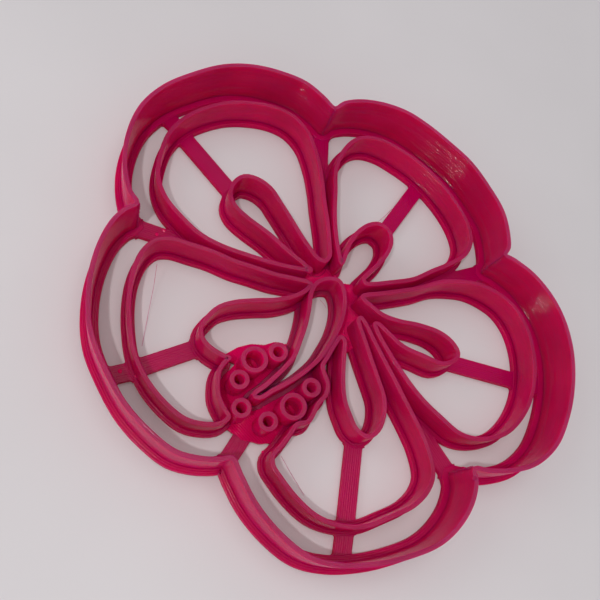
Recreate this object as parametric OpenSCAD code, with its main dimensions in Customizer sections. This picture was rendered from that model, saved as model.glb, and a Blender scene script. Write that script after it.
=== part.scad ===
// Flower cutter with a hibiscus imprint, one layered print in a single colour.
// It lies the way it is stored: the base on the table, the cutting edge up.
// X runs to the right, Y away from the viewer and Z up from the table.

/* [Flower] */
// Radius that every outline follows
flower_r = 50; // [30:1:75]
// Longest straight step along a curve
curve_step = 2.5; // [1.5:0.5:5]

/* [Cutting wall] */
// Height of the cutting edge above the table
cutter_h = 11.8; // [9:0.2:20]
// Thickness of the cutting wall, two printed lines
cutter_t = 0.9; // [0.6:0.1:1.2]
// Width of the flange under the cutting wall
flange_w = 3.4; // [2.4:0.1:4]

/* [Imprint walls] */
// Height of the imprint edges above the table
imprint_h = 7.8; // [4:0.2:8.8]
// Thickness of the imprint walls, two printed lines
imprint_t = 0.9; // [0.6:0.1:1.1]
// Width of the base strip under each imprint wall
foot_w = 2.6; // [2:0.1:3]

/* [Base] */
// Thickness of the flange, strips, struts and plates
base_t = 1.6; // [1:0.2:3]
// Width of the struts that tie the petals to the cutting wall
strut_w = 3.4; // [2.4:0.1:4]

/* [Anthers] */
// Outer radius of a large anther ring
large_ring_r = 2.6; // [2.2:0.05:2.8]
// Outer radius of a small anther ring
small_ring_r = 1.9; // [1.5:0.05:2]
// How far the anther plate reaches past its rings
plate_lip = 1.2; // [0.6:0.1:1.4]

/* [Hidden] */

// Number of sides drawn for a round
$fn = 48;

// Fewest steps from one outline point to the next
least_steps = 2;

// Where a list of petals runs: left, upper left, upper right, right, bottom
LEFT = 0;
UPPER_LEFT = 1;
UPPER_RIGHT = 2;
RIGHT = 3;
BOTTOM = 4;

// Where the list of anther rings runs: the large ones, then the small ones
UPPER_RING = 0;
LOWER_RING = 1;
SMALL_RINGS = 2;

// Cutting line, one list a lobe, each from a notch to the point before the next notch
lobe_shares = [
    [[-0.35, -0.715], [-0.385, -0.72], [-0.46, -0.72], [-0.545, -0.7], [-0.63, -0.64],
     [-0.72, -0.55], [-0.795, -0.435], [-0.86, -0.295], [-0.88, -0.14], [-0.865, 0.005],
     [-0.825, 0.12], [-0.78, 0.18]],
    [[-0.74, 0.21], [-0.77, 0.255], [-0.8, 0.375], [-0.795, 0.51], [-0.755, 0.64],
     [-0.675, 0.745], [-0.565, 0.825], [-0.44, 0.89], [-0.315, 0.915], [-0.19, 0.905],
     [-0.085, 0.875], [-0.01, 0.82]],
    [[0.045, 0.77], [0.09, 0.805], [0.175, 0.83], [0.28, 0.83], [0.385, 0.805],
     [0.475, 0.755], [0.575, 0.68], [0.67, 0.595], [0.745, 0.485], [0.8, 0.375],
     [0.815, 0.27], [0.81, 0.205]],
    [[0.79, 0.17], [0.83, 0.15], [0.915, 0.09], [0.99, -0.005], [1.035, -0.115],
     [1.05, -0.245], [1.035, -0.375], [0.99, -0.51], [0.925, -0.62], [0.83, -0.695],
     [0.73, -0.725], [0.625, -0.73]],
    [[0.56, -0.725], [0.565, -0.77], [0.54, -0.85], [0.48, -0.93], [0.4, -0.99],
     [0.29, -1.03], [0.17, -1.055], [0.035, -1.06], [-0.075, -1.035], [-0.18, -0.96],
     [-0.265, -0.865], [-0.32, -0.77]]
];

// Imprint line of each petal, out round the petal and back round its vein
petal_shares = [
    [[-0.045, -0.015], [-0.11, 0], [-0.19, 0.01], [-0.27, 0.03], [-0.355, 0.05],
     [-0.44, 0.08], [-0.525, 0.1], [-0.6, 0.115], [-0.655, 0.105], [-0.7, 0.06],
     [-0.73, -0.02], [-0.74, -0.125], [-0.73, -0.24], [-0.705, -0.345], [-0.655, -0.44],
     [-0.585, -0.52], [-0.51, -0.575], [-0.44, -0.59], [-0.385, -0.585], [-0.355, -0.56],
     [-0.37, -0.535], [-0.395, -0.485], [-0.4, -0.435], [-0.395, -0.39], [-0.375, -0.355],
     [-0.36, -0.34], [-0.38, -0.335], [-0.435, -0.305], [-0.465, -0.27], [-0.47, -0.23],
     [-0.445, -0.185], [-0.405, -0.145], [-0.345, -0.12], [-0.26, -0.105], [-0.18, -0.095],
     [-0.105, -0.07], [-0.06, -0.04]],
    [[0.015, 0.09], [0.035, 0.115], [0.035, 0.165], [0.03, 0.25], [0.015, 0.365],
     [0.005, 0.465], [-0.015, 0.575], [-0.055, 0.685], [-0.12, 0.755], [-0.2, 0.785],
     [-0.285, 0.79], [-0.39, 0.775], [-0.485, 0.735], [-0.57, 0.675], [-0.635, 0.59],
     [-0.665, 0.485], [-0.67, 0.38], [-0.635, 0.29], [-0.57, 0.215], [-0.495, 0.15],
     [-0.41, 0.11], [-0.3, 0.08], [-0.18, 0.055], [-0.09, 0.045], [-0.055, 0.045],
     [-0.065, 0.06], [-0.13, 0.11], [-0.215, 0.18], [-0.31, 0.245], [-0.36, 0.29],
     [-0.38, 0.34], [-0.365, 0.395], [-0.325, 0.43], [-0.27, 0.425], [-0.215, 0.39],
     [-0.17, 0.325], [-0.125, 0.255], [-0.085, 0.19], [-0.035, 0.12], [-0.01, 0.095]],
    [[0.085, 0.085], [0.075, 0.13], [0.065, 0.195], [0.06, 0.295], [0.065, 0.415],
     [0.07, 0.52], [0.105, 0.615], [0.16, 0.68], [0.225, 0.705], [0.305, 0.695],
     [0.39, 0.655], [0.475, 0.6], [0.555, 0.525], [0.62, 0.44], [0.665, 0.35],
     [0.68, 0.265], [0.65, 0.195], [0.575, 0.14], [0.485, 0.095], [0.4, 0.05],
     [0.295, 0.025], [0.22, 0.01], [0.185, 0.01], [0.18, 0.03], [0.21, 0.065],
     [0.27, 0.13], [0.305, 0.2], [0.3, 0.255], [0.26, 0.285], [0.21, 0.275],
     [0.155, 0.23], [0.12, 0.175], [0.1, 0.12]],
    [[0.17, -0.05], [0.19, -0.04], [0.245, -0.03], [0.335, -0.01], [0.43, 0.015],
     [0.525, 0.05], [0.62, 0.06], [0.7, 0.055], [0.78, 0.025], [0.845, -0.02],
     [0.895, -0.095], [0.92, -0.19], [0.92, -0.3], [0.89, -0.415], [0.83, -0.51],
     [0.75, -0.575], [0.65, -0.6], [0.56, -0.585], [0.475, -0.52], [0.395, -0.445],
     [0.315, -0.34], [0.265, -0.26], [0.225, -0.185], [0.22, -0.16], [0.235, -0.16],
     [0.27, -0.19], [0.335, -0.245], [0.425, -0.28], [0.505, -0.305], [0.56, -0.285],
     [0.575, -0.255], [0.55, -0.21], [0.5, -0.175], [0.41, -0.15], [0.325, -0.14],
     [0.255, -0.12], [0.205, -0.085], [0.18, -0.065]],
    [[0.16, -0.14], [0.175, -0.155], [0.205, -0.215], [0.245, -0.295], [0.285, -0.37],
     [0.33, -0.46], [0.38, -0.56], [0.415, -0.645], [0.43, -0.74], [0.405, -0.8],
     [0.345, -0.855], [0.255, -0.895], [0.155, -0.93], [0.065, -0.93], [-0.025, -0.9],
     [-0.1, -0.84], [-0.16, -0.77], [-0.19, -0.725], [-0.19, -0.69], [-0.16, -0.655],
     [-0.13, -0.615], [-0.1, -0.575], [-0.06, -0.565], [-0.04, -0.535], [-0.02, -0.495],
     [0.01, -0.46], [0.02, -0.42], [0.005, -0.375], [0, -0.345], [0.02, -0.31],
     [0.055, -0.25], [0.075, -0.225], [0.09, -0.24], [0.09, -0.265], [0.085, -0.315],
     [0.08, -0.41], [0.085, -0.475], [0.105, -0.535], [0.13, -0.585], [0.175, -0.61],
     [0.215, -0.585], [0.24, -0.53], [0.245, -0.46], [0.225, -0.39], [0.2, -0.315],
     [0.175, -0.235], [0.155, -0.175], [0.15, -0.15]]
];

// Imprint line of the pistil
pistil_shares = [
    [0, 0.005], [0.035, 0.015], [0.07, 0.01], [0.09, -0.025], [0.095, -0.08],
    [0.085, -0.14], [0.065, -0.195], [0.035, -0.25], [0, -0.305], [-0.06, -0.365],
    [-0.12, -0.41], [-0.195, -0.455], [-0.245, -0.485], [-0.265, -0.475], [-0.215, -0.43],
    [-0.155, -0.37], [-0.115, -0.32], [-0.09, -0.255], [-0.07, -0.195], [-0.055, -0.13],
    [-0.045, -0.06], [-0.03, -0.02]
];

// Solid plate where the petals meet
centre_plate_shares = [
    [-0.075, 0.045], [-0.06, 0.07], [-0.02, 0.1], [0.005, 0.105], [0.08, 0.105],
    [0.12, 0.05], [0.18, 0.045], [0.2, -0.04], [0.18, -0.07], [0.23, -0.14],
    [0.23, -0.185], [0.185, -0.215], [0.15, -0.245], [0.1, -0.245], [0.05, -0.205],
    [0.03, -0.15], [0.02, -0.05], [-0.02, -0.03], [-0.06, 0.02]
];

// Middle of the solid plate under the anther rings, which reaches past it by the lip
anther_plate_shares = [
    [-0.37, -0.34], [-0.345, -0.315], [-0.3, -0.285], [-0.255, -0.27], [-0.2, -0.27],
    [-0.16, -0.255], [-0.12, -0.26], [-0.03, -0.32], [-0.03, -0.345], [-0.01, -0.42],
    [-0.06, -0.51], [-0.12, -0.56], [-0.165, -0.605], [-0.2, -0.605], [-0.27, -0.6],
    [-0.35, -0.545], [-0.385, -0.48], [-0.38, -0.4]
];

// Middles of the anther rings
large_anther_shares = [[-0.265, -0.34], [-0.115, -0.51]];
small_anther_shares = [
    [-0.175, -0.305], [-0.32, -0.42], [-0.31, -0.525], [-0.21, -0.57], [-0.045, -0.435]
];

// Ends of the struts, the inner end first
inner_strut_shares = [
    [[-0.455, -0.27], [-0.7, -0.375]], [[-0.36, 0.42], [-0.58, 0.665]],
    [[0.295, 0.265], [0.51, 0.57]], [[0.565, -0.255], [0.92, -0.325]],
    [[0.165, -0.6], [0.12, -0.93]]
];
outer_strut_shares = [
    [[-0.7, -0.38], [-0.815, -0.415]], [[-0.58, 0.68], [-0.665, 0.76]],
    [[0.51, 0.57], [0.58, 0.67]], [[0.92, -0.325], [1.04, -0.35]],
    [[0.12, -0.935], [0.1, -1.055]]
];
notch_strut_shares = [
    [[-0.55, 0.16], [-0.745, 0.21]], [[0.033, 0.52], [0.045, 0.775]],
    [[0.5, 0.075], [0.79, 0.17]], [[0.345, -0.41], [0.56, -0.725]],
    [[-0.275, -0.6], [-0.345, -0.715]]
];

// Smooth closed curve through points, with turns that stay round at uneven spacing
function knot(a, b) = sqrt(norm(b - a));
function between(a, b, ta, tb, t) = (a * (tb - t) + b * (t - ta)) / (tb - ta);
function curve_point(p, u) =
    let (t1 = knot(p[0], p[1]))
    let (t2 = t1 + knot(p[1], p[2]))
    let (t3 = t2 + knot(p[2], p[3]))
    let (t = t1 + u * (t2 - t1))
    let (a = between(p[0], p[1], 0, t1, t))
    let (b = between(p[1], p[2], t1, t2, t))
    let (c = between(p[2], p[3], t2, t3, t))
    between(between(a, b, 0, t2, t), between(b, c, t1, t3, t), t1, t2, t);
function smooth(points) =
    let (n = len(points))
    [for (i = [0:n - 1])
        let (p = [for (k = [-1:2]) points[(i + k + n) % n]])
        let (steps = max(least_steps, ceil(norm(p[2] - p[1]) / curve_step)))
        for (s = [0:steps - 1]) curve_point(p, s / steps)];

// The part is drawn round the middle of its outline
raw_cutter_line = smooth([for (lobe = lobe_shares) for (p = lobe) flower_r * p]);
raw_x = [for (p = raw_cutter_line) p[0]];
raw_y = [for (p = raw_cutter_line) p[1]];
middle = [(min(raw_x) + max(raw_x)) / 2, (min(raw_y) + max(raw_y)) / 2];
function placed(shares) = [for (share = shares) flower_r * share - middle];

cutter_line = [for (p = raw_cutter_line) p - middle];
lobe_starts = [for (lobe = lobe_shares) flower_r * lobe[0] - middle];
// Far enough out to pass the flange
reach = 2 * flower_r;

ring_spots = placed(concat(large_anther_shares, small_anther_shares));
ring_radii = [
    for (share = large_anther_shares) large_ring_r,
    for (share = small_anther_shares) small_ring_r
];

// Band of an even width along a closed line
module band(line, width) {
    difference() {
        offset(delta = width / 2) polygon(line);
        offset(delta = -width / 2) polygon(line);
    }
}

// The share of the flower that belongs to one lobe
module lobe_sector(i) {
    from = lobe_starts[i];
    to = lobe_starts[(i + 1) % len(lobe_starts)];
    hub = placed([[0, 0]])[0];
    out_from = hub + reach * (from - hub) / norm(from - hub);
    out_to = hub + reach * (to - hub) / norm(to - hub);
    polygon([hub, out_from, out_from + out_to - hub, out_to]);
}

module petal_band(i, width) {
    band(smooth(placed(petal_shares[i])), width);
}

module pistil_band(width) {
    band(smooth(placed(pistil_shares)), width);
}

// The pistil's band and all that it encloses
module pistil_area(width) {
    offset(delta = width / 2) polygon(smooth(placed(pistil_shares)));
}

module centre_outline() {
    polygon(placed(centre_plate_shares));
}

module flange_band() {
    band(cutter_line, flange_w);
}

// All the base strips, which the plates and struts stop at
module strips() {
    for (i = [LEFT:BOTTOM]) petal_band(i, foot_w);
    pistil_area(foot_w);
}

// An anther ring and all that it encloses
module ring_area(i) {
    translate(ring_spots[i]) circle(ring_radii[i]);
}

module anther_outline() {
    offset(r = plate_lip) {
        polygon(placed(anther_plate_shares));
        for (i = [0:len(ring_spots) - 1]) ring_area(i);
    }
}

// Straight bar from one place to another
module bar(ends) {
    run = ends[1] - ends[0];
    translate(ends[0])
    rotate(atan2(run[1], run[0]))
    translate([0, -strut_w / 2])
    square([norm(run), strut_w]);
}

module cutting_wall(i) {
    color("crimson")
    translate([0, 0, base_t])
    linear_extrude(cutter_h - base_t)
    intersection() {
        band(cutter_line, cutter_t);
        lobe_sector(i);
    }
}

module flange(i) {
    color("mediumvioletred")
    linear_extrude(base_t)
    intersection() {
        flange_band();
        lobe_sector(i);
    }
}

module petal_wall(i) {
    color("crimson")
    translate([0, 0, base_t])
    linear_extrude(imprint_h - base_t)
    difference() {
        petal_band(i, imprint_t);
        pistil_area(imprint_t);
    }
}

module petal_base(i) {
    color("mediumvioletred")
    linear_extrude(base_t)
    difference() {
        petal_band(i, foot_w);
        pistil_area(foot_w);
        centre_outline();
        for (k = [0:1:i - 1]) petal_band(k, foot_w);
    }
}

module pistil_wall() {
    color("crimson")
    translate([0, 0, base_t])
    linear_extrude(imprint_h - base_t)
    pistil_band(imprint_t);
}

module pistil_base() {
    color("mediumvioletred")
    linear_extrude(base_t)
    pistil_band(foot_w);
}

module centre_plate() {
    color("mediumvioletred")
    linear_extrude(base_t)
    difference() {
        centre_outline();
        pistil_area(foot_w);
    }
}

module anther_plate() {
    color("mediumvioletred")
    linear_extrude(base_t)
    difference() {
        anther_outline();
        strips();
        centre_outline();
    }
}

// A ring stops at the petals, the pistil and the rings before it
module anther(i) {
    color("crimson")
    translate([0, 0, base_t])
    linear_extrude(imprint_h - base_t)
    difference() {
        ring_area(i);
        translate(ring_spots[i]) circle(ring_radii[i] - imprint_t);
        for (k = [0:1:i - 1]) ring_area(k);
        for (k = [LEFT:BOTTOM]) petal_band(k, imprint_t);
        pistil_area(imprint_t);
    }
}

module strut(ends) {
    color("mediumvioletred")
    linear_extrude(base_t)
    difference() {
        bar(placed(ends));
        strips();
        flange_band();
        anther_outline();
    }
}

cutting_wall(LEFT);  // cutting_wall_left
cutting_wall(UPPER_LEFT);  // cutting_wall_upper_left
cutting_wall(UPPER_RIGHT);  // cutting_wall_upper_right
cutting_wall(RIGHT);  // cutting_wall_right
cutting_wall(BOTTOM);  // cutting_wall_bottom
flange(LEFT);  // flange_left
flange(UPPER_LEFT);  // flange_upper_left
flange(UPPER_RIGHT);  // flange_upper_right
flange(RIGHT);  // flange_right
flange(BOTTOM);  // flange_bottom
petal_wall(LEFT);  // petal_wall_left
petal_wall(UPPER_LEFT);  // petal_wall_upper_left
petal_wall(UPPER_RIGHT);  // petal_wall_upper_right
petal_wall(RIGHT);  // petal_wall_right
petal_wall(BOTTOM);  // petal_wall_bottom
petal_base(LEFT);  // petal_base_left
petal_base(UPPER_LEFT);  // petal_base_upper_left
petal_base(UPPER_RIGHT);  // petal_base_upper_right
petal_base(RIGHT);  // petal_base_right
petal_base(BOTTOM);  // petal_base_bottom
pistil_wall();
pistil_base();
centre_plate();
anther_plate();
anther(UPPER_RING);  // large_anther_upper
anther(LOWER_RING);  // large_anther_lower
anther(SMALL_RINGS);  // small_anther_1
anther(SMALL_RINGS + 1);  // small_anther_2
anther(SMALL_RINGS + 2);  // small_anther_3
anther(SMALL_RINGS + 3);  // small_anther_4
anther(SMALL_RINGS + 4);  // small_anther_5
strut(inner_strut_shares[LEFT]);  // inner_strut_left
strut(inner_strut_shares[UPPER_LEFT]);  // inner_strut_upper_left
strut(inner_strut_shares[UPPER_RIGHT]);  // inner_strut_upper_right
strut(inner_strut_shares[RIGHT]);  // inner_strut_right
strut(inner_strut_shares[BOTTOM]);  // inner_strut_bottom
strut(outer_strut_shares[LEFT]);  // outer_strut_left
strut(outer_strut_shares[UPPER_LEFT]);  // outer_strut_upper_left
strut(outer_strut_shares[UPPER_RIGHT]);  // outer_strut_upper_right
strut(outer_strut_shares[RIGHT]);  // outer_strut_right
strut(outer_strut_shares[BOTTOM]);  // outer_strut_bottom
strut(notch_strut_shares[0]);  // notch_strut_left
strut(notch_strut_shares[1]);  // notch_strut_top
strut(notch_strut_shares[2]);  // notch_strut_right
strut(notch_strut_shares[3]);  // notch_strut_lower_right
strut(notch_strut_shares[4]);  // notch_strut_lower_left
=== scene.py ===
"""Looks of the printed flower cutter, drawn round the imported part, in mm until placed."""

import math

import bpy
import numpy as np
from mathutils import Matrix, Vector


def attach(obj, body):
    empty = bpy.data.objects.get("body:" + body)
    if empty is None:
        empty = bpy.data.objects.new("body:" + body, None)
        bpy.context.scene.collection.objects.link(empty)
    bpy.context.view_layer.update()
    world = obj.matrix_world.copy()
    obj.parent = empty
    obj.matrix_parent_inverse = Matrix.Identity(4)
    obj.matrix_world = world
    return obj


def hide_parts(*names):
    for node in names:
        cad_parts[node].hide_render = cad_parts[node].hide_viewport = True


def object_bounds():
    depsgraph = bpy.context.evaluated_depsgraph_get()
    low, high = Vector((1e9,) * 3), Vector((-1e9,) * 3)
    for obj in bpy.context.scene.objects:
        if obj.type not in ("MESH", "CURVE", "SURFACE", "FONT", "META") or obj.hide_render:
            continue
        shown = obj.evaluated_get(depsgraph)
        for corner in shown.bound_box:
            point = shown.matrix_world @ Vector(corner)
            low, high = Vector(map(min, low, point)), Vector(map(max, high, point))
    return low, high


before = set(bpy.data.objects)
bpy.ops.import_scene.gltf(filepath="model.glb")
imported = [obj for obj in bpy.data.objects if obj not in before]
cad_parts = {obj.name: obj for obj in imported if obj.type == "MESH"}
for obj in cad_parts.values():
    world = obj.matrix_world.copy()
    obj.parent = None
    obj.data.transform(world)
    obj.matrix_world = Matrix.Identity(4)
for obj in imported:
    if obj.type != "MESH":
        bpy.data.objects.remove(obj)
cad_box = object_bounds()

MM = 0.001
LOBES = ["left", "upper_left", "upper_right", "right", "bottom"]
NOTCHES = ["left", "top", "right", "lower_right", "lower_left"]

# Sizes of the part, as part.scad has them
FLOWER_R = 50
BASE_T = 1.6
CUTTER_H = 11.8
CUTTER_T = 0.9
FLANGE_W = 3.4
IMPRINT_H = 7.8
IMPRINT_T = 0.9
FOOT_W = 2.6
STRUT_W = 3.4
LARGE_RING_R = 2.6
SMALL_RING_R = 1.9

# How the print was laid down. One layer is too fine to read in the photograph, so its height is
# the usual one
LAYER = 0.2
LINE_W = 0.43
SIDE_GROOVE = 0.055
SHOULDER = 0.008
# How far in from the wall's face a layer's edge may lie
LAYER_SHIFT = 0.018
# Height of a layer's widest place, as a share of the layer
CREST_SHARE = 0.45
# Drop of a layer's upper shoulder for each mm it runs in, on flat and on steep layers, and the
# share of flat ones
FLAT_SHOULDER = 0.75
STEEP_SHOULDER = 1.3
FLAT_LAYERS = 0.4
SHOULDER_ROUGH = 0.0008
# Extrusion lines side by side on each kind of top, and how one line's height falls off across its
# width
WALL_LINES = 2
FLANGE_LINES = 8
STRIP_LINES = 6
STRUT_LINES = 8
LINE_PROFILE = [(0.25, 0.25), (0.5, 0), (0.75, 0.25)]
TOP_GROOVE = 0.07
LINE_DROP = 0.03
STRUT_DROP = 0.05
# Spacing of points along a line and along a bar, and the fewest that a span, a bar or a wobble
# has
TRACE_STEP = 1.15
BAR_STEP = 0.15
LEAST_SPAN_POINTS = 3
LEAST_BAR_POINTS = 6
LEAST_WAVES = 4
# How far the nozzle strays, and the length over which it does
WOBBLE = 0.012
WOBBLE_RUN = 4.0
# Radius of the rounded corner where a bar runs into a strip
CORNER_R = 0.5
# The plates' infill lines: angle, points over a line's top, half width of its foot and heights as
# shares
INFILL_ANGLE = math.radians(-45)
BEAD_POINTS = 7
BEAD_FOOT = 0.8
BEAD_HEIGHTS = (0.8, 1.0)
# How close in height points lie on one flat top
SAME_HEIGHT = 0.01
# Lumps: points around and up, tilt of the lowest and highest rows, unevenness, and heights as
# shares of the radius
DOME_AROUND = 12
DOME_ROWS = 5
DOME_TILTS = (-0.5, math.pi / 2 - 0.25)
DOME_BUMPS = (0.9, 1.1)
DOME_RISE = 0.55
DOME_TOP = 0.57
DOME_BOTTOM = 0.3
DOME_SINK = 0.45
# Seams: scatter of the bumps, how deep they sit in the wall's face and their radii
SEAM_SCATTER = 0.05
SEAM_DEPTH = 0.06
SEAM_RADII = (0.12, 0.24)
# Strands: radius, its swelling as a share, points around and points for each place they pass
HAIR_R = 0.035
HAIR_SWELL = (0.7, 1.2)
HAIR_AROUND = 6
HAIR_STEPS = 8
# First number of the random draws for each kind of piece
SEEDS = {
    "cutting_wall": 1, "flange": 2, "petal_wall": 10, "petal_base": 20, "pistil_wall": 30,
    "pistil_base": 31, "centre_plate": 40, "anther_plate": 41, "large_anther": 50,
    "small_anther": 60, "strut": 70, "edge_blobs": 90, "base_blobs": 91, "seam_places": 92,
    "seams": 93, "strand": 95,
}

# Small marks of the print: the photograph's pixel, the height it sits at and its radius in mm
BLOBS = [
    ((309, 269), IMPRINT_H, 0.95), ((335, 108), CUTTER_H, 0.5), ((505, 254), CUTTER_H, 0.45),
    ((475, 478), CUTTER_H, 0.6), ((469, 471), BASE_T, 0.8), ((464, 469), BASE_T, 0.5),
    ((280, 360), BASE_T, 0.35),
    ((226, 391), BASE_T, 0.35), ((264, 407), BASE_T, 0.3), ((276, 433), BASE_T, 0.3),
    ((247, 427), BASE_T, 0.3), ((257, 383), BASE_T, 0.3), ((164, 230), BASE_T, 0.45),
    ((157, 234), BASE_T, 0.4), ((120, 371), BASE_T, 0.45), ((136, 376), BASE_T, 0.4),
    ((263, 452), BASE_T, 0.3), ((348, 307), BASE_T, 0.3), ((356, 295), BASE_T, 0.3),
    ((373, 343), BASE_T, 0.3), ((352, 347), BASE_T, 0.3), ((369, 328), BASE_T, 0.3),
]
# Strands of plastic the nozzle drew from one edge to another, as pixels and heights
STRANDS = [
    [((157, 264), IMPRINT_H), ((154, 285), 3.0), ((149, 310), 1.0), ((142, 346), 0.3)],
    [((392, 209), IMPRINT_H), ((386, 215), 6.0), ((378, 222), 4.5)],
    [((281, 456), BASE_T), ((290, 472), 0.6), ((304, 495), 0.3)],
    [((320, 300), BASE_T), ((324, 304), 1.1), ((326, 308), 0.9)],
]

# Outlines in shares of the flower's radius, the same as in part.scad
LOBE_SHARES = [
    [(-0.35, -0.715), (-0.385, -0.72), (-0.46, -0.72), (-0.545, -0.7), (-0.63, -0.64),
     (-0.72, -0.55), (-0.795, -0.435), (-0.86, -0.295), (-0.88, -0.14), (-0.865, 0.005),
     (-0.825, 0.12), (-0.78, 0.18)],
    [(-0.74, 0.21), (-0.77, 0.255), (-0.8, 0.375), (-0.795, 0.51), (-0.755, 0.64),
     (-0.675, 0.745), (-0.565, 0.825), (-0.44, 0.89), (-0.315, 0.915), (-0.19, 0.905),
     (-0.085, 0.875), (-0.01, 0.82)],
    [(0.045, 0.77), (0.09, 0.805), (0.175, 0.83), (0.28, 0.83), (0.385, 0.805),
     (0.475, 0.755), (0.575, 0.68), (0.67, 0.595), (0.745, 0.485), (0.8, 0.375),
     (0.815, 0.27), (0.81, 0.205)],
    [(0.79, 0.17), (0.83, 0.15), (0.915, 0.09), (0.99, -0.005), (1.035, -0.115),
     (1.05, -0.245), (1.035, -0.375), (0.99, -0.51), (0.925, -0.62), (0.83, -0.695),
     (0.73, -0.725), (0.625, -0.73)],
    [(0.56, -0.725), (0.565, -0.77), (0.54, -0.85), (0.48, -0.93), (0.4, -0.99),
     (0.29, -1.03), (0.17, -1.055), (0.035, -1.06), (-0.075, -1.035), (-0.18, -0.96),
     (-0.265, -0.865), (-0.32, -0.77)],
]
PETAL_SHARES = [
    [(-0.045, -0.015), (-0.11, 0), (-0.19, 0.01), (-0.27, 0.03), (-0.355, 0.05),
     (-0.44, 0.08), (-0.525, 0.1), (-0.6, 0.115), (-0.655, 0.105), (-0.7, 0.06),
     (-0.73, -0.02), (-0.74, -0.125), (-0.73, -0.24), (-0.705, -0.345), (-0.655, -0.44),
     (-0.585, -0.52), (-0.51, -0.575), (-0.44, -0.59), (-0.385, -0.585), (-0.355, -0.56),
     (-0.37, -0.535), (-0.395, -0.485), (-0.4, -0.435), (-0.395, -0.39), (-0.375, -0.355),
     (-0.36, -0.34), (-0.38, -0.335), (-0.435, -0.305), (-0.465, -0.27), (-0.47, -0.23),
     (-0.445, -0.185), (-0.405, -0.145), (-0.345, -0.12), (-0.26, -0.105), (-0.18, -0.095),
     (-0.105, -0.07), (-0.06, -0.04)],
    [(0.015, 0.09), (0.035, 0.115), (0.035, 0.165), (0.03, 0.25), (0.015, 0.365),
     (0.005, 0.465), (-0.015, 0.575), (-0.055, 0.685), (-0.12, 0.755), (-0.2, 0.785),
     (-0.285, 0.79), (-0.39, 0.775), (-0.485, 0.735), (-0.57, 0.675), (-0.635, 0.59),
     (-0.665, 0.485), (-0.67, 0.38), (-0.635, 0.29), (-0.57, 0.215), (-0.495, 0.15),
     (-0.41, 0.11), (-0.3, 0.08), (-0.18, 0.055), (-0.09, 0.045), (-0.055, 0.045),
     (-0.065, 0.06), (-0.13, 0.11), (-0.215, 0.18), (-0.31, 0.245), (-0.36, 0.29),
     (-0.38, 0.34), (-0.365, 0.395), (-0.325, 0.43), (-0.27, 0.425), (-0.215, 0.39),
     (-0.17, 0.325), (-0.125, 0.255), (-0.085, 0.19), (-0.035, 0.12), (-0.01, 0.095)],
    [(0.085, 0.085), (0.075, 0.13), (0.065, 0.195), (0.06, 0.295), (0.065, 0.415),
     (0.07, 0.52), (0.105, 0.615), (0.16, 0.68), (0.225, 0.705), (0.305, 0.695),
     (0.39, 0.655), (0.475, 0.6), (0.555, 0.525), (0.62, 0.44), (0.665, 0.35),
     (0.68, 0.265), (0.65, 0.195), (0.575, 0.14), (0.485, 0.095), (0.4, 0.05),
     (0.295, 0.025), (0.22, 0.01), (0.185, 0.01), (0.18, 0.03), (0.21, 0.065),
     (0.27, 0.13), (0.305, 0.2), (0.3, 0.255), (0.26, 0.285), (0.21, 0.275),
     (0.155, 0.23), (0.12, 0.175), (0.1, 0.12)],
    [(0.17, -0.05), (0.19, -0.04), (0.245, -0.03), (0.335, -0.01), (0.43, 0.015),
     (0.525, 0.05), (0.62, 0.06), (0.7, 0.055), (0.78, 0.025), (0.845, -0.02),
     (0.895, -0.095), (0.92, -0.19), (0.92, -0.3), (0.89, -0.415), (0.83, -0.51),
     (0.75, -0.575), (0.65, -0.6), (0.56, -0.585), (0.475, -0.52), (0.395, -0.445),
     (0.315, -0.34), (0.265, -0.26), (0.225, -0.185), (0.22, -0.16), (0.235, -0.16),
     (0.27, -0.19), (0.335, -0.245), (0.425, -0.28), (0.505, -0.305), (0.56, -0.285),
     (0.575, -0.255), (0.55, -0.21), (0.5, -0.175), (0.41, -0.15), (0.325, -0.14),
     (0.255, -0.12), (0.205, -0.085), (0.18, -0.065)],
    [(0.16, -0.14), (0.175, -0.155), (0.205, -0.215), (0.245, -0.295), (0.285, -0.37),
     (0.33, -0.46), (0.38, -0.56), (0.415, -0.645), (0.43, -0.74), (0.405, -0.8),
     (0.345, -0.855), (0.255, -0.895), (0.155, -0.93), (0.065, -0.93), (-0.025, -0.9),
     (-0.1, -0.84), (-0.16, -0.77), (-0.19, -0.725), (-0.19, -0.69), (-0.16, -0.655),
     (-0.13, -0.615), (-0.1, -0.575), (-0.06, -0.565), (-0.04, -0.535), (-0.02, -0.495),
     (0.01, -0.46), (0.02, -0.42), (0.005, -0.375), (0, -0.345), (0.02, -0.31),
     (0.055, -0.25), (0.075, -0.225), (0.09, -0.24), (0.09, -0.265), (0.085, -0.315),
     (0.08, -0.41), (0.085, -0.475), (0.105, -0.535), (0.13, -0.585), (0.175, -0.61),
     (0.215, -0.585), (0.24, -0.53), (0.245, -0.46), (0.225, -0.39), (0.2, -0.315),
     (0.175, -0.235), (0.155, -0.175), (0.15, -0.15)],
]
PISTIL_SHARES = [
    (0, 0.005), (0.035, 0.015), (0.07, 0.01), (0.09, -0.025), (0.095, -0.08),
    (0.085, -0.14), (0.065, -0.195), (0.035, -0.25), (0, -0.305), (-0.06, -0.365),
    (-0.12, -0.41), (-0.195, -0.455), (-0.245, -0.485), (-0.265, -0.475), (-0.215, -0.43),
    (-0.155, -0.37), (-0.115, -0.32), (-0.09, -0.255), (-0.07, -0.195), (-0.055, -0.13),
    (-0.045, -0.06), (-0.03, -0.02),
]
LARGE_ANTHER_SHARES = [(-0.265, -0.34), (-0.115, -0.51)]
SMALL_ANTHER_SHARES = [
    (-0.175, -0.305), (-0.32, -0.42), (-0.31, -0.525), (-0.21, -0.57), (-0.045, -0.435),
]
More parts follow.
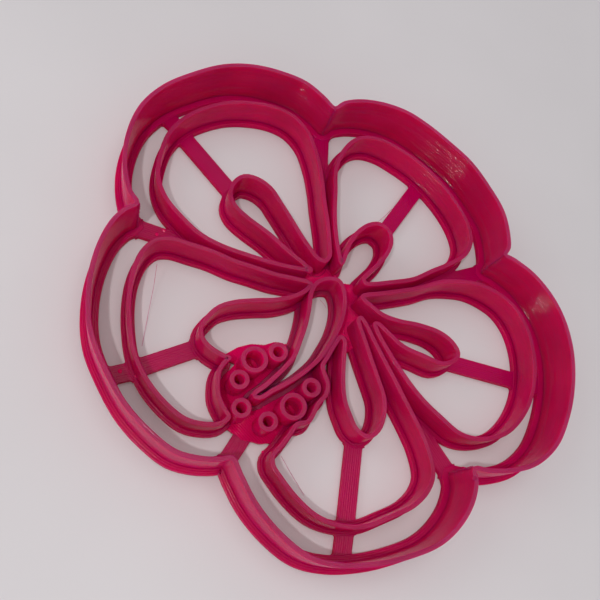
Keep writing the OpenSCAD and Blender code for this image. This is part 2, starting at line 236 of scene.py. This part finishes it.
INNER_STRUT_SHARES = [
    [(-0.455, -0.27), (-0.7, -0.375)], [(-0.36, 0.42), (-0.58, 0.665)],
    [(0.295, 0.265), (0.51, 0.57)], [(0.565, -0.255), (0.92, -0.325)],
    [(0.165, -0.6), (0.12, -0.93)],
]
OUTER_STRUT_SHARES = [
    [(-0.7, -0.38), (-0.815, -0.415)], [(-0.58, 0.68), (-0.665, 0.76)],
    [(0.51, 0.57), (0.58, 0.67)], [(0.92, -0.325), (1.04, -0.35)],
    [(0.12, -0.935), (0.1, -1.055)],
]
NOTCH_STRUT_SHARES = [
    [(-0.55, 0.16), (-0.745, 0.21)], [(0.033, 0.52), (0.045, 0.775)],
    [(0.5, 0.075), (0.79, 0.17)], [(0.345, -0.41), (0.56, -0.725)],
    [(-0.275, -0.6), (-0.345, -0.715)],
]

# The photograph's camera: focal length, frame and vertical vanishing point in pixels, height in
# mm
PHOTO_SIZE = 600
FOCAL_PX = 700
NADIR_PX = (104, 555)
CAMERA_H = 132.3
# The drawing's origin is where this pixel meets the imprint edges' plane
ORIGIN_PX = (322, 281)
SENSOR_MM = 36

# Plastic: tones as (red, green, blue), linear. The plastic is one colour, and these tones are lit
# and shaded copies of it: painted light
# Sides, painted brighter than the tops to make up for the shade they stand in
SIDE_PAINTED_LIGHT = (0.66, 0.0, 0.092)
# Anther sides, painted brighter still for the shade inside and between the rings
ANTHER_SIDE_PAINTED_LIGHT = (0.95, 0.0, 0.130)
# Plate tops, painted brighter for the shade between the rings
PLATE_TOP_PAINTED_LIGHT = (0.70, 0.004, 0.105)
# Rims: a paler mauve, which is a painted sheen
RIM_PAINTED_SHEEN = (0.37, 0.021, 0.098)
IMPRINT_RIM_PAINTED_SHEEN = (0.37, 0.013, 0.078)
# Tops of the flange, the petal strips and the struts, each painted to the brightness the light
# gives it there
FLANGE_TOP_PAINTED_LIGHT = (0.50, 0.001, 0.080)
STRIP_TOP_PAINTED_LIGHT = (0.40, 0.0, 0.062)
FLAT_TOP_PAINTED_LIGHT = (0.40, 0.0, 0.068)
# Each slot's colour on its sides and on its tops, its roughness and how much light it carries
# inside
# The side and top tones of each slot are painted light: lit and shaded copies of one plastic
SLOTS = [
    ("cutting_wall", SIDE_PAINTED_LIGHT, RIM_PAINTED_SHEEN, 0.10, 0.7),
    ("flange", SIDE_PAINTED_LIGHT, FLANGE_TOP_PAINTED_LIGHT, 0.15, 0.4),
    ("petal_wall", SIDE_PAINTED_LIGHT, IMPRINT_RIM_PAINTED_SHEEN, 0.10, 0.7),
    ("petal_base", SIDE_PAINTED_LIGHT, STRIP_TOP_PAINTED_LIGHT, 0.15, 0.4),
    ("pistil", SIDE_PAINTED_LIGHT, IMPRINT_RIM_PAINTED_SHEEN, 0.10, 0.7),
    ("anther", ANTHER_SIDE_PAINTED_LIGHT, IMPRINT_RIM_PAINTED_SHEEN, 0.12, 0.7),
    ("plate", ANTHER_SIDE_PAINTED_LIGHT, PLATE_TOP_PAINTED_LIGHT, 0.14, 0.05),
    ("strut", SIDE_PAINTED_LIGHT, FLAT_TOP_PAINTED_LIGHT, 0.20, 0.2),
]
SHINE = 0.13
PLASTIC_IOR = 1.46
# How far light travels inside the plastic: shares for red, green and blue, of a length in metres
GLOW_RADIUS = (1.0, 0.05, 0.2)
GLOW_REACH = 3 * MM
# Drift of the tones: factors, size, detail and the noise levels where it starts and ends
TONE_DRIFT = (0.9, 1.1)
TONE_SCALE = 90
TONE_DETAIL = 4
TONE_LEVELS = (0.35, 0.65)
# Fine grain: size, detail, drift of the roughness and depth in metres
GRAIN_SCALE = 3000
GRAIN_DETAIL = 5
GRAIN_DRIFT = 0.03
GRAIN_BUMP = 0.000022
# Upward part of the normal where a side's tone starts to turn into a top's, and where it is all
# top
# The top tone brought in by this is painted light
TOP_LEVELS = (0.45, 0.85)

# Floor, lamps and room, in metres and watts. Each lamp is a disk: name, width, power and place
FLOOR_HALF = 1.2
FLOOR_DROP = 0.00002
FLOOR_TONES = ((0.62, 0.585, 0.59), (0.67, 0.635, 0.64))
FLOOR_TONE_SCALE = 9
FLOOR_ROUGHNESS = 0.7
LAMPS = [
    ("small_lamp", 0.012, 0.25, (-0.12, -0.09, 0.30)),
    ("soft_overhead", 0.9, 4.0, (0, 0.05, 1.2)),
    ("soft_left", 0.7, 1.5, (-0.9, 0.4, 0.8)),
]
ROOM_TONE = (0.95, 0.96, 1, 1)
ROOM_STRENGTH = 0.45


def photo_axes():
    """The part's right, away and up directions as the photograph's camera sees them."""
    centre = PHOTO_SIZE / 2
    down = np.array([(NADIR_PX[0] - centre) / FOCAL_PX, (NADIR_PX[1] - centre) / FOCAL_PX, 1.0])
    up = -down / np.linalg.norm(down)
    right = np.array([1.0, 0, 0]) - up * up[0]
    right /= np.linalg.norm(right)
    return np.array([right, np.cross(up, right), up])


def pixel_ray(pixel):
    centre = PHOTO_SIZE / 2
    return np.array([(pixel[0] - centre) / FOCAL_PX, (pixel[1] - centre) / FOCAL_PX, 1.0])


def knots(points):
    """Places of the points along a smooth curve that stays round at uneven spacing."""
    steps = np.sqrt(np.linalg.norm(np.diff(points, axis=0), axis=1))
    return np.concatenate([[0], np.cumsum(steps)])


def curve_span(p, count):
    """Points from the second to the third of four outline points."""
    t = knots(p)
    u = t[1] + (t[2] - t[1]) * (np.arange(count) / count)[:, None]

    def between(a, b, ta, tb):
        return (a * (tb - u) + b * (u - ta)) / (tb - ta)

    a = between(p[0], p[1], t[0], t[1])
    b = between(p[1], p[2], t[1], t[2])
    c = between(p[2], p[3], t[2], t[3])
    return between(between(a, b, t[0], t[2]), between(b, c, t[1], t[3]), t[1], t[2])


def smooth(points):
    """Smooth closed curve through the outline points."""
    points = np.array(points, float)
    n = len(points)
    spans = []
    for i in range(n):
        p = points[[(i + k) % n for k in (-1, 0, 1, 2)]]
        count = max(LEAST_SPAN_POINTS, math.ceil(np.linalg.norm(p[2] - p[1]) / TRACE_STEP))
        spans.append(curve_span(p, count))
    return np.concatenate(spans)


cutter_raw = smooth([FLOWER_R * np.array(p) for lobe in LOBE_SHARES for p in lobe])
MIDDLE = (cutter_raw.min(axis=0) + cutter_raw.max(axis=0)) / 2


PHOTO_AXES = photo_axes()


def seen_from_camera(pixel, height):
    """Step from the camera to what the photograph shows at a pixel, at a height."""
    step = PHOTO_AXES @ pixel_ray(pixel)
    return step * ((height - CAMERA_H) / step[2])


drawing_origin = np.array([-MIDDLE[0], -MIDDLE[1], IMPRINT_H])
CAMERA_PLACE = drawing_origin - seen_from_camera(ORIGIN_PX, IMPRINT_H)


def at_pixel(pixel, height):
    """Place on the part that the photograph shows at a pixel, at a height."""
    return CAMERA_PLACE + seen_from_camera(pixel, height)


def placed(shares):
    return FLOWER_R * np.array(shares, float) - MIDDLE


def crease(mesh, across, along, rows):
    """Sharp edges along the rows of a swept band, so that each layer keeps its own facets."""
    ends = np.empty(2 * len(mesh.edges), np.int32)
    mesh.edges.foreach_get("vertices", ends)
    a, b = ends.reshape(-1, 2).T
    swept = (a < across * along) & (b < across * along)
    sharp = swept & (a % across == b % across) & np.isin(a % across, rows)
    mesh.attributes.new("sharp_edge", "BOOLEAN", "EDGE").data.foreach_set("value", sharp)


def add_mesh(name, verts, faces_of):
    """Mesh object from vertices in mm and lists of same-size faces."""
    mesh = bpy.data.meshes.new(name)
    verts = np.asarray(verts, float).reshape(-1, 3) * MM
    verts = np.clip(verts, cad_box[0], cad_box[1]).astype(np.float32)
    loops = np.concatenate([np.ravel(f) for f in faces_of]).astype(np.int32)
    sizes = np.concatenate([[len(row) for row in f] for f in faces_of]).astype(np.int32)
    mesh.vertices.add(len(verts))
    mesh.vertices.foreach_set("co", verts.ravel())
    mesh.loops.add(len(loops))
    mesh.loops.foreach_set("vertex_index", loops)
    mesh.polygons.add(len(sizes))
    starts = np.concatenate([[0], np.cumsum(sizes)[:-1]]).astype(np.int32)
    mesh.polygons.foreach_set("loop_start", starts)
    mesh.polygons.foreach_set("use_smooth", np.ones(len(sizes), bool))
    mesh.update(calc_edges=True)
    mesh.validate()
    obj = bpy.data.objects.new(name, mesh)
    bpy.context.collection.objects.link(obj)
    return obj


def section(width, low, high, lines, rng, count):
    """Offsets and heights of one printed band, as arrays of section point by path point."""
    layers = round((high - low) / LAYER)
    path = np.linspace(0, 1, count, endpoint=False)

    def wobble(size):
        coarse = rng.normal(0, size, max(LEAST_WAVES, int(count * TRACE_STEP / WOBBLE_RUN)))
        at = np.linspace(0, 1, len(coarse), endpoint=False)
        return np.interp(path, np.append(at, 1), np.append(coarse, coarse[0]))

    flat = np.zeros(count)

    def side(sign):
        deep = [width / 2 - SIDE_GROOVE + wobble(WOBBLE / 2) for _ in range(layers + 1)]
        rows = []
        for k in range(layers):
            z = low + k * LAYER
            edge = width / 2 - np.abs(wobble(WOBBLE)) - rng.uniform(0, LAYER_SHIFT)
            ledge = np.maximum(edge - SHOULDER - deep[k + 1], 0)
            slope = FLAT_SHOULDER if rng.random() < FLAT_LAYERS else STEEP_SHOULDER
            rise = ledge * slope + rng.normal(0, SHOULDER_ROUGH, count)
            rows.append((sign * deep[k], z + flat))
            rows.append((sign * edge, z + CREST_SHARE * LAYER + flat))
            rows.append((sign * (edge - SHOULDER), z + LAYER - rise))
        return rows[:-1]

    def top():
        rows = []
        pitch = width / lines
        for k in range(lines):
            at = width / 2 - k * pitch
            crest = high - np.abs(wobble(WOBBLE)) - LINE_DROP * rng.uniform(0, 1)
            edge = high - TOP_GROOVE + wobble(WOBBLE)
            rows.append((at + flat, edge))
            for share, drop in LINE_PROFILE:
                rows.append((at - pitch * share + flat, crest - TOP_GROOVE * drop))
        rows.append((-width / 2 + flat, high - TOP_GROOVE + wobble(WOBBLE)))
        return rows

    rows = side(1) + top() + side(-1)[::-1]
    return np.array([r[0] for r in rows]), np.array([r[1] for r in rows])


def side_rows(low, high, across):
    """The rows of a section that lie on its two sides."""
    one_side = 3 * round((high - low) / LAYER) - 1
    return np.r_[0:one_side, across - one_side:across]


def grid_faces(across, along, closed_along):
    """Quads of a swept band, facing outward."""
    j = np.arange(across)
    i = np.arange(along if closed_along else along - 1)
    a = (i[:, None] * across + j[None, :]).ravel()
    b = (i[:, None] * across + (j[None, :] + 1) % across).ravel()
    c = (((i[:, None] + 1) % along) * across + (j[None, :] + 1) % across).ravel()
    d = (((i[:, None] + 1) % along) * across + j[None, :]).ravel()
    return np.stack([a, d, c, b], axis=1)


def end_caps(across, along):
    """The faces that close the two ends of a swept band."""
    return [np.arange(across)[None, :], ((along - 1) * across + np.arange(across))[None, ::-1]]


def printed_loop(name, line, width, low, high, lines, seed):
    """A closed printed band along a line: layers on its sides and extrusion lines on its top."""
    rng = np.random.default_rng(seed)
    run = np.roll(line, -1, axis=0) - np.roll(line, 1, axis=0)
    run /= np.linalg.norm(run, axis=1)[:, None]
    out = np.stack([run[:, 1], -run[:, 0]], axis=1)
    offsets, heights = section(width, low, high, lines, rng, len(line))
    verts = np.empty((len(line), len(offsets), 3))
    verts[..., :2] = line[:, None, :] + out[:, None, :] * offsets.T[..., None]
    verts[..., 2] = heights.T
    obj = add_mesh(name, verts, [grid_faces(len(offsets), len(line), True)])
    crease(obj.data, len(offsets), len(line), side_rows(low, high, len(offsets)))
    return obj


def gap_to(points, lines):
    """Distance from each point to the nearest edge of the bands along some lines."""
    gaps = [
        np.linalg.norm(points[:, None] - line[None], axis=2).min(axis=1) - half
        for line, half in lines
    ]
    return np.min(gaps, axis=0)


def corner_flare(side, lines):
    """How far a bar's side steps out, to round the corners where it runs into the strips."""
    clear = gap_to(side, lines)
    left = np.clip(CORNER_R - clear, 0, CORNER_R)
    flare = CORNER_R - np.sqrt(CORNER_R ** 2 - left ** 2)
    return flare * np.clip(1 + clear / CORNER_R, 0, 1)


def printed_bar(name, ends, width, high, lines, seed, strips):
    """A straight printed bar on the table, with rounded corners where it runs into the strips."""
    rng = np.random.default_rng(seed)
    a, b = ends
    count = max(LEAST_BAR_POINTS, math.ceil(np.linalg.norm(b - a) / BAR_STEP))
    at = np.linspace(0, 1, count)[:, None]
    line = a + (b - a) * at
    run = (b - a) / np.linalg.norm(b - a)
    out = np.array([run[1], -run[0]])
    offsets, heights = section(width, 0, high, lines, rng, count)
    for sign in (1, -1):
        flare = corner_flare(line + sign * out * width / 2, strips)
        offsets = np.where(sign * offsets > 0, offsets * (1 + flare / (width / 2)), offsets)
    verts = np.empty((count, len(offsets), 3))
    verts[..., :2] = line[:, None, :] + out * offsets.T[..., None]
    verts[..., 2] = heights.T
    across = len(offsets)
    obj = add_mesh(name, verts, [grid_faces(across, count, False)] + end_caps(across, count))
    crease(obj.data, across, count, side_rows(0, high, across))
    return obj


def top_outline(node):
    """Outline of a flat CAD node's top, from its mesh, in mm."""
    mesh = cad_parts[node].data
    co = np.array([v.co for v in mesh.vertices]) / MM
    top = co[:, 2].max()
    ends = {}
    for face in mesh.polygons:
        ids = list(face.vertices)
        if all(abs(co[i, 2] - top) < SAME_HEIGHT for i in ids):
            for a, b in zip(ids, ids[1:] + ids[:1]):
                pa, pb = tuple(co[a, :2].round(3)), tuple(co[b, :2].round(3))
                if (pb, pa) in ends:
                    del ends[(pb, pa)]
                else:
                    ends[(pa, pb)] = True
    follow = {a: b for a, b in ends}
    start = next(iter(follow))
    loop = [start]
    while follow[loop[-1]] != start:
        loop.append(follow[loop[-1]])
    return np.array(loop)


def infill_runs(outline, angle, pitch):
    """Straight runs of the infill that cross an outline at an angle."""
    turn = np.array([[math.cos(angle), math.sin(angle)], [-math.sin(angle), math.cos(angle)]])
    flat = outline @ turn.T
    after = np.roll(flat, -1, axis=0)
    runs = []
    for y in np.arange(flat[:, 1].min() + pitch / 2, flat[:, 1].max(), pitch):
        cross = (flat[:, 1] > y) != (after[:, 1] > y)
        p, q = flat[cross], after[cross]
        xs = np.sort(p[:, 0] + (q[:, 0] - p[:, 0]) * (y - p[:, 1]) / (q[:, 1] - p[:, 1]))
        for x0, x1 in zip(xs[::2], xs[1::2]):
            if x1 - x0 > pitch:
                runs.append(np.array([(x0, y), (x1, y)]) @ turn)
    return runs


def printed_plate(name, node, angle, seed):
    """A solid printed plate: a flat slab with the top layer's infill lines across it."""
    rng = np.random.default_rng(seed)
    outline = top_outline(node)
    n = len(outline)
    slab_top = BASE_T - TOP_GROOVE
    verts = [np.c_[outline, np.zeros(n)], np.c_[outline, np.full(n, slab_top)]]
    i = np.arange(n)
    sides = np.stack([i, (i + 1) % n, (i + 1) % n + n, i + n], axis=1)
    faces = [sides, i[None, ::-1], i[None, :] + n]
    used = 2 * n
    across = np.append(np.linspace(1, -1, BEAD_POINTS), [-BEAD_FOOT, BEAD_FOOT])
    height = np.append(np.sqrt(1 - across[:BEAD_POINTS] ** 2), [-1, -1])
    m = len(across)
    for a, b in infill_runs(outline, angle, LINE_W):
        run = (b - a) / np.linalg.norm(b - a)
        out = np.array([run[1], -run[0]]) * LINE_W / 2
        high = TOP_GROOVE * rng.uniform(*BEAD_HEIGHTS)
        for end in (a, b):
            verts.append(np.c_[end + across[:, None] * out, slab_top + height * high])
        faces += [grid_faces(m, 2, False) + used] + [cap + used for cap in end_caps(m, 2)]
        used += 2 * m
    return add_mesh(name, np.concatenate(verts), faces)


def noise_tone(nodes, links, scale, low, high, place):
    """A colour that drifts between two tones."""
    tex = nodes.new("ShaderNodeTexNoise")
    tex.inputs["Scale"].default_value = scale
    tex.inputs["Detail"].default_value = TONE_DETAIL
    links.new(place.outputs["Object"], tex.inputs["Vector"])
    ramp = nodes.new("ShaderNodeValToRGB")
    for stop, level, tone in zip(ramp.color_ramp.elements, TONE_LEVELS, (low, high)):
        stop.position = level
        stop.color = (*tone, 1)
    links.new(tex.outputs["Fac"], ramp.inputs["Fac"])
    return ramp.outputs["Color"]


def bumped(nodes, links, height, distance):
    """A normal that follows a height."""
    bump = nodes.new("ShaderNodeBump")
    bump.inputs["Distance"].default_value = distance
    links.new(height, bump.inputs["Height"])
    return bump.outputs["Normal"]


def painted_light_top_mask(nodes, links):
    """One where a surface faces up, zero on the sides: where the painted-light top tone goes."""
    geometry = nodes.new("ShaderNodeNewGeometry")
    split = nodes.new("ShaderNodeSeparateXYZ")
    links.new(geometry.outputs["Normal"], split.inputs["Vector"])
    ramp = nodes.new("ShaderNodeMapRange")
    ramp.inputs["From Min"].default_value, ramp.inputs["From Max"].default_value = TOP_LEVELS
    links.new(split.outputs["Z"], ramp.inputs["Value"])
    return ramp.outputs["Result"]


def printed_plastic(name, side, top, rough, glow):
    """Glossy printed plastic: a tone for its sides and one for its tops, lit and shaded copies that
    are painted light, and fine grain.
    """
    mat = bpy.data.materials.new(name)
    mat.use_nodes = True
    nodes, links = mat.node_tree.nodes, mat.node_tree.links
    shader = nodes["Principled BSDF"]
    place = nodes.new("ShaderNodeTexCoord")
    tones = []
    for tone in (side, top):
        darker, lighter = (tuple(c * factor for c in tone) for factor in TONE_DRIFT)
        tones.append(noise_tone(nodes, links, TONE_SCALE, darker, lighter, place))
    # Upward faces take the top tone and sides the side tone: painted light
    painted_light_mix = nodes.new("ShaderNodeMix")
    painted_light_mix.data_type = "RGBA"
    links.new(painted_light_top_mask(nodes, links), painted_light_mix.inputs["Factor"])
    links.new(tones[0], painted_light_mix.inputs["A"])
    links.new(tones[1], painted_light_mix.inputs["B"])
    links.new(painted_light_mix.outputs["Result"], shader.inputs["Base Color"])
    gloss = nodes.new("ShaderNodeTexNoise")
    gloss.inputs["Scale"].default_value = GRAIN_SCALE
    gloss.inputs["Detail"].default_value = GRAIN_DETAIL
    links.new(place.outputs["Object"], gloss.inputs["Vector"])
    spread = nodes.new("ShaderNodeMapRange")
    spread.inputs["To Min"].default_value = rough - GRAIN_DRIFT
    spread.inputs["To Max"].default_value = rough + GRAIN_DRIFT
    links.new(gloss.outputs["Fac"], spread.inputs["Value"])
    links.new(spread.outputs["Result"], shader.inputs["Roughness"])
    links.new(bumped(nodes, links, gloss.outputs["Fac"], GRAIN_BUMP), shader.inputs["Normal"])
    shader.inputs["IOR"].default_value = PLASTIC_IOR
    shader.inputs["Specular IOR Level"].default_value = SHINE
    shader.inputs["Subsurface Weight"].default_value = glow
    shader.inputs["Subsurface Radius"].default_value = GLOW_RADIUS
    shader.inputs["Subsurface Scale"].default_value = GLOW_REACH
    return mat


MATERIALS = {
    name: printed_plastic(name, side, top, rough, glow) for name, side, top, rough, glow in SLOTS
}


def finish_piece(obj, slot, *nodes):
    """Gives a piece the material of its slot and its body, and hides the CAD nodes it stands for.
    """
    obj.data.materials.append(MATERIALS[slot])
    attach(obj, "root")
    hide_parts(*nodes)


cutter_line = cutter_raw - MIDDLE
petal_lines = [smooth(placed(shares)) for shares in PETAL_SHARES]
pistil_line = smooth(placed(PISTIL_SHARES))

wall = printed_loop("cutting_wall_print", cutter_line, CUTTER_T, BASE_T, CUTTER_H,
                    WALL_LINES, SEEDS["cutting_wall"])
finish_piece(wall, "cutting_wall", *["cutting_wall_" + lobe for lobe in LOBES])
flange = printed_loop("flange_print", cutter_line, FLANGE_W, 0, BASE_T,
                      FLANGE_LINES, SEEDS["flange"])
finish_piece(flange, "flange", *["flange_" + lobe for lobe in LOBES])


def imprint(wall_name, base_name, wall_slot, base_slot, line, wall_seed, base_seed):
    """An imprint wall and the wider strip under it, each standing for one CAD node."""
    wall = printed_loop(wall_name.replace("wall", "wall_print"), line, IMPRINT_T, BASE_T,
                        IMPRINT_H, WALL_LINES, wall_seed)
    finish_piece(wall, wall_slot, wall_name)
    base = printed_loop(base_name.replace("base", "base_print"), line, FOOT_W, 0, BASE_T,
                        STRIP_LINES, base_seed)
    finish_piece(base, base_slot, base_name)


for i, lobe in enumerate(LOBES):
    imprint("petal_wall_" + lobe, "petal_base_" + lobe, "petal_wall", "petal_base",
            petal_lines[i], SEEDS["petal_wall"] + i, SEEDS["petal_base"] + i)
imprint("pistil_wall", "pistil_base", "pistil", "pistil", pistil_line,
        SEEDS["pistil_wall"], SEEDS["pistil_base"])

for name in ("centre_plate", "anther_plate"):
    finish_piece(printed_plate(name + "_print", name, INFILL_ANGLE, SEEDS[name]), "plate", name)


def anther(name, spot, radius, seed):
    """One anther ring, which stands for the CAD node of its name."""
    middle_r = radius - IMPRINT_T / 2
    count = math.ceil(2 * math.pi * middle_r / (TRACE_STEP / 2))
    turn = np.linspace(0, 2 * math.pi, count, endpoint=False)
    line = spot + middle_r * np.stack([np.cos(turn), np.sin(turn)], axis=1)
    ring = printed_loop(name + "_print", line, IMPRINT_T, BASE_T, IMPRINT_H, WALL_LINES, seed)
    finish_piece(ring, "anther", name)


for i, name in enumerate(["large_anther_upper", "large_anther_lower"]):
    anther(name, placed(LARGE_ANTHER_SHARES)[i], LARGE_RING_R, SEEDS["large_anther"] + i)
for i, spot in enumerate(placed(SMALL_ANTHER_SHARES)):
    anther("small_anther_%d" % (i + 1), spot, SMALL_RING_R, SEEDS["small_anther"] + i)

strips = [(line, FOOT_W / 2) for line in petal_lines + [pistil_line]]
strips.append((cutter_line, FLANGE_W / 2))
STRUT_KINDS = [
    ("inner_strut_", LOBES, INNER_STRUT_SHARES),
    ("outer_strut_", LOBES, OUTER_STRUT_SHARES),
    ("notch_strut_", NOTCHES, NOTCH_STRUT_SHARES),
]
for kind, places, shares in STRUT_KINDS:
    for i, place in enumerate(places):
        bar = printed_bar(kind + place + "_print", placed(shares[i]), STRUT_W,
                          BASE_T - STRUT_DROP, STRUT_LINES, SEEDS["strut"] + i, strips)
        finish_piece(bar, "strut", kind + place)


def dome(spot, radius, rng):
    """A small lump of plastic that sits on a surface, as vertices and faces."""
    around, up = DOME_AROUND, DOME_ROWS
    turn = np.linspace(0, 2 * math.pi, around, endpoint=False)
    tilt = np.linspace(*DOME_TILTS, up)
    bumps = rng.uniform(*DOME_BUMPS, (up, around))
    reach = radius * np.cos(tilt)[:, None] * bumps
    x = spot[0] + reach * np.cos(turn)
    y = spot[1] + reach * np.sin(turn)
    z = spot[2] + DOME_RISE * radius * np.sin(tilt)[:, None] + 0 * x
    tip = [spot + [0, 0, DOME_TOP * radius]]
    foot = [spot - [0, 0, DOME_BOTTOM * radius]]
    verts = np.concatenate([np.stack([x, y, z], axis=-1).reshape(-1, 3), tip, foot])
    faces = []
    for r in range(up - 1):
        for k in range(around):
            n = (k + 1) % around
            low, high = r * around, (r + 1) * around
            faces.append((low + k, low + n, high + n, high + k))
    last = (up - 1) * around
    tips = [(last + k, last + (k + 1) % around, up * around) for k in range(around)]
    tips += [((k + 1) % around, k, up * around + 1) for k in range(around)]
    return verts, np.array(faces), np.array(tips)


def lumps(name, spots, slot, seed):
    """Several lumps as one piece, from their places and radii."""
    rng = np.random.default_rng(seed)
    verts, quads, tips, used = [], [], [], 0
    for spot, radius in spots:
        v, q, t = dome(np.array(spot, float), radius, rng)
        verts.append(v)
        quads.append(q + used)
        tips.append(t + used)
        used += len(v)
    finish_piece(add_mesh(name, np.concatenate(verts), quads + tips), slot)


def sunk(pixel, height, radius):
    """Place and radius of a lump that sits a little into the surface it is on."""
    return at_pixel(pixel, height) - [0, 0, DOME_SINK * radius], radius


edge_blobs = [sunk(*b) for b in BLOBS if b[1] > BASE_T]
base_blobs = [sunk(*b) for b in BLOBS if b[1] <= BASE_T]
lumps("edge_blobs", edge_blobs, "petal_wall", SEEDS["edge_blobs"])
# The base lumps take the plate's material: less light inside, and a tone painted brighter to stand
# in for their highlights
lumps("base_blobs", base_blobs, "plate", SEEDS["base_blobs"])


def seam(corner, hub, rng):
    """Column of small bumps where each layer of the cutting wall starts and ends."""
    inward = (hub - corner) / np.linalg.norm(hub - corner)
    spots = []
    for z in np.arange(BASE_T + LAYER / 2, CUTTER_H - LAYER, LAYER):
        side = rng.normal(0, SEAM_SCATTER, 2)
        at = corner + inward * (CUTTER_T / 2 - SEAM_DEPTH) + side
        spots.append(((at[0], at[1], z), rng.uniform(*SEAM_RADII)))
    return spots


seam_rng = np.random.default_rng(SEEDS["seam_places"])
seam_spots = []
for lobe in LOBE_SHARES:
    seam_spots += seam(placed(lobe[0]), placed((0, 0)), seam_rng)
lumps("seams", seam_spots, "cutting_wall", SEEDS["seams"])


def strand(name, points, seed):
    """A hair of plastic drawn along a few places."""
    corners = np.array([at_pixel(pixel, height) for pixel, height in points])
    fine = np.linspace(0, len(corners) - 1, HAIR_STEPS * len(corners))
    places = np.arange(len(corners))
    path = np.stack([np.interp(fine, places, column) for column in corners.T], axis=1)
    run = np.gradient(path, axis=0)
    run /= np.linalg.norm(run, axis=1)[:, None]
    side = np.cross(run, [0, 0, 1.0])
    side /= np.linalg.norm(side, axis=1)[:, None]
    over = np.cross(side, run)
    turn = np.linspace(0, 2 * math.pi, HAIR_AROUND, endpoint=False)
    swell = HAIR_R * np.random.default_rng(seed).uniform(*HAIR_SWELL, len(path))
    verts = path[:, None] + swell[:, None, None] * (
        np.cos(turn)[None, :, None] * side[:, None] + np.sin(turn)[None, :, None] * over[:, None])
    faces = [grid_faces(HAIR_AROUND, len(path), False)] + end_caps(HAIR_AROUND, len(path))
    finish_piece(add_mesh(name, verts, faces), "petal_wall")


for i, points in enumerate(STRANDS):
    strand("strand_%d" % (i + 1), points, SEEDS["strand"] + i)


def pale_floor():
    """Plain floor, a hair below the part's resting face."""
    mesh = bpy.data.meshes.new("floor")
    corners = [(x * FLOOR_HALF, y * FLOOR_HALF, 0) for x, y in ((-1, -1), (1, -1), (1, 1), (-1, 1))]
    mesh.from_pydata(corners, [], [(0, 1, 2, 3)])
    floor = bpy.data.objects.new("floor", mesh)
    floor.location.z = -FLOOR_DROP
    bpy.context.collection.objects.link(floor)
    mat = bpy.data.materials.new("floor")
    mat.use_nodes = True
    nodes, links = mat.node_tree.nodes, mat.node_tree.links
    place = nodes.new("ShaderNodeTexCoord")
    tone = noise_tone(nodes, links, FLOOR_TONE_SCALE, *FLOOR_TONES, place)
    links.new(tone, nodes["Principled BSDF"].inputs["Base Color"])
    nodes["Principled BSDF"].inputs["Roughness"].default_value = FLOOR_ROUGHNESS
    floor.data.materials.append(mat)


pale_floor()


def lamp(name, size, power, place):
    """A round lamp that aims at the part's origin."""
    data = bpy.data.lights.new(name, "AREA")
    data.shape = "DISK"
    data.size = size
    data.energy = power
    obj = bpy.data.objects.new(name, data)
    bpy.context.collection.objects.link(obj)
    obj.location = place
    obj.rotation_euler = (Vector() - Vector(place)).to_track_quat("-Z", "Y").to_euler()


for row in LAMPS:
    lamp(*row)

world = bpy.data.worlds.new("room")
bpy.context.scene.world = world
world.use_nodes = True
background = world.node_tree.nodes["Background"]
background.inputs["Color"].default_value = ROOM_TONE
background.inputs["Strength"].default_value = ROOM_STRENGTH


def photo_camera():
    """Camera that sees the part as the photograph does."""
    data = bpy.data.cameras.new("photo_camera")
    data.sensor_width = SENSOR_MM
    data.lens = SENSOR_MM * FOCAL_PX / PHOTO_SIZE
    data.clip_start = MM
    obj = bpy.data.objects.new("photo_camera", data)
    bpy.context.collection.objects.link(obj)
    turn = Matrix((PHOTO_AXES * np.array([1, -1, -1])).tolist()).to_4x4()
    obj.matrix_world = Matrix.Translation(CAMERA_PLACE * MM) @ turn
    bpy.context.scene.camera = obj


photo_camera()
bpy.context.scene.view_settings.view_transform = "Standard"
